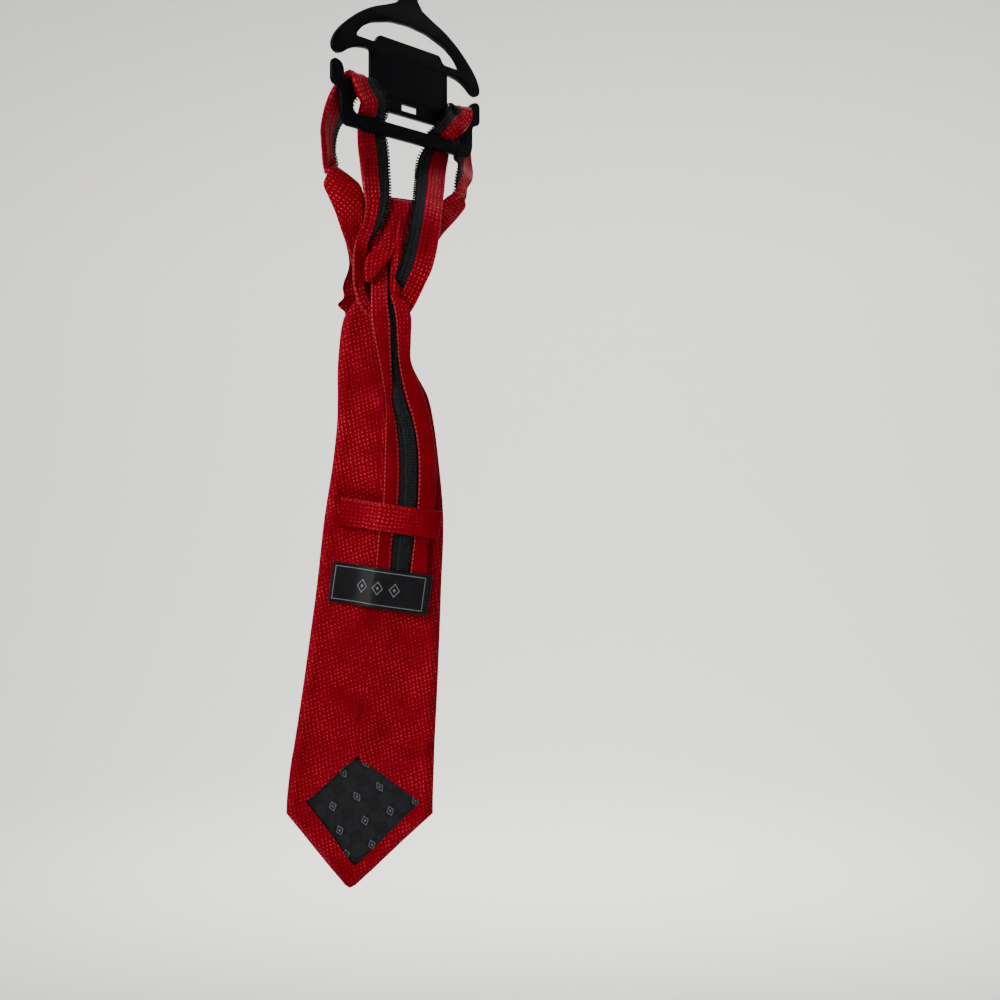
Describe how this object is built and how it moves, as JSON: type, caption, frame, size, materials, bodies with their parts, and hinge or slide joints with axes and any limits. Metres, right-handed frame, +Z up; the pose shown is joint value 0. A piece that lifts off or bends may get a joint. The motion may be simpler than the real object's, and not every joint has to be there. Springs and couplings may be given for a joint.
{
  "type": "zipper necktie on a tie hanger",
  "caption": "Red woven zipper necktie with a ready-made knot, zip neck loop and folded blade, hung back to front on a small black hook hanger.",
  "frame": {"origin": "the seat inside the top of the hanger's hook, where a rail carries it", "axes": "+Z up, -Y towards the back of the tie with its tail, keeper loop and label, +Y towards its front, +X to the right seen from the back"},
  "size_m": [0.0918, 0.0676, 0.446],
  "materials": {
    "red_cloth": "dobby woven polyester with fine pin dots, slight sheen",
    "zip_tape": "knitted polyester zip tape with a nylon coil",
    "black_lining": "woven lining",
    "black_satin": "woven satin label",
    "black_plastic": "injection moulded, satin"
  },
  "bodies": {
    "root": {"hanger": "black_plastic", "neck_band_left": "red_cloth", "neck_band_right": "red_cloth", "zip_tape_left": "zip_tape", "zip_tape_right": "zip_tape", "knot_left_wing": "red_cloth", "knot_right_wing": "red_cloth", "knot_back_pass": "red_cloth", "knot_front_band": "red_cloth", "blade": "red_cloth", "tipping": "black_lining", "tail_left_band": "red_cloth", "tail_right_band": "red_cloth", "tail_zip": "zip_tape", "zipper_slider": "black_plastic", "keeper_loop": "red_cloth", "label": "black_satin"}
  },
  "joints": []
}
